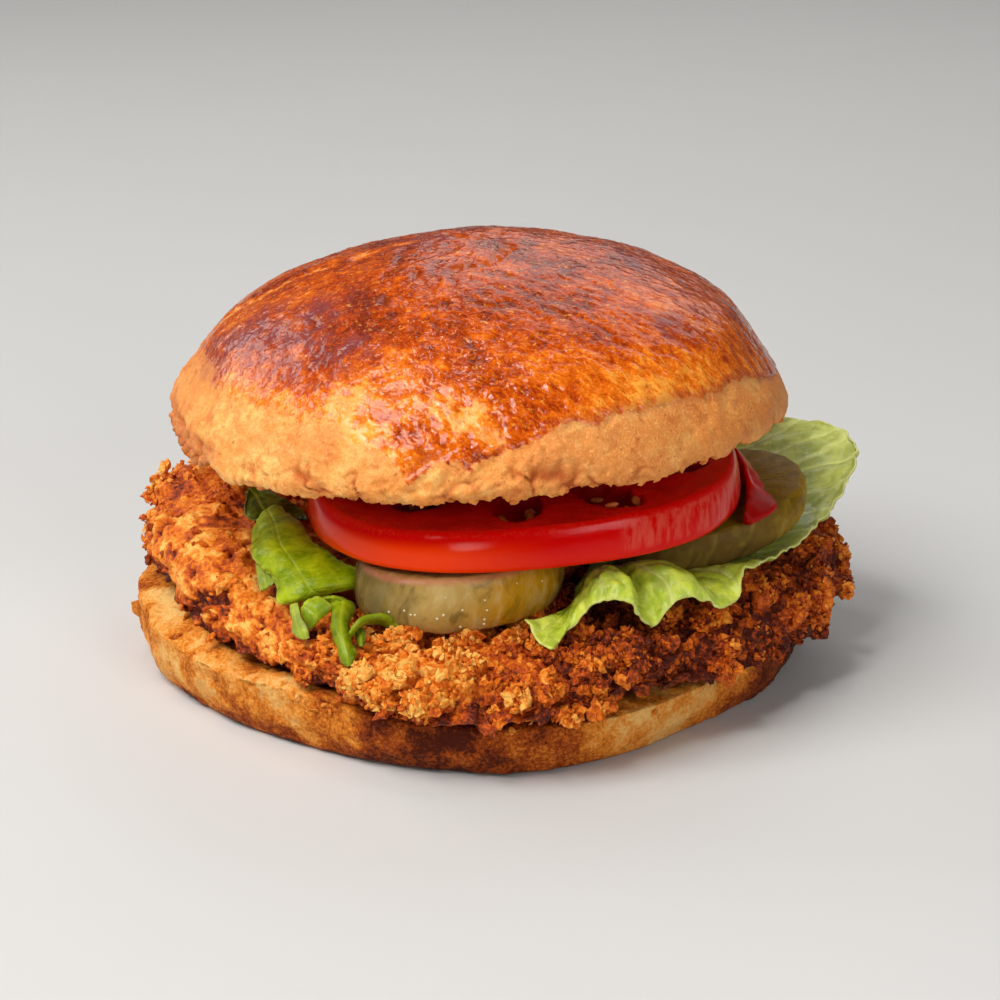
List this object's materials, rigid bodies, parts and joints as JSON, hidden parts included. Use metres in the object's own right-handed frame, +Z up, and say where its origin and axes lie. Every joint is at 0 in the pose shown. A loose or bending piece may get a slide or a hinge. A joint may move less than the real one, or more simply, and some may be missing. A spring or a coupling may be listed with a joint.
{
  "type": "chicken burger",
  "caption": "Burger in a split glazed bun with a crumbed chicken cutlet, lettuce leaves, thick pickle rounds and a tomato slice, resting on its flat heel.",
  "frame": {"origin": "on the flat underside of the heel, below the middle of the stack", "axes": "+Z up through the stack, +X to the right along the longest side, -Y towards the front that shows the pickles and the tomato"},
  "size_m": [0.1256, 0.1168, 0.0736],
  "materials": {
    "bun_heel": "pale baked bread side with toasted brown patches, matte",
    "bun_crown": "egg-glazed brown crust, glossy and finely wrinkled on top, matte and pale near the rim",
    "fried_crumb": "deep-fried bread crumbs, rough golden to dark brown",
    "lettuce": "fresh green leaf with pale veins, satin and slightly translucent",
    "pickle": "wet olive pickle flesh with a streaked grey-green peel, translucent",
    "tomato": "wet red tomato skin and flesh with seed pockets, glossy and translucent"
  },
  "bodies": {
    "root": {"bottom_bun": "bun_heel", "chicken_cutlet": "fried_crumb", "lettuce_left": "lettuce", "lettuce_right": "lettuce", "pickle_front": "pickle", "pickle_right": "pickle", "tomato_slice": "tomato", "tomato_strip": "tomato", "top_bun": "bun_crown"}
  },
  "joints": []
}
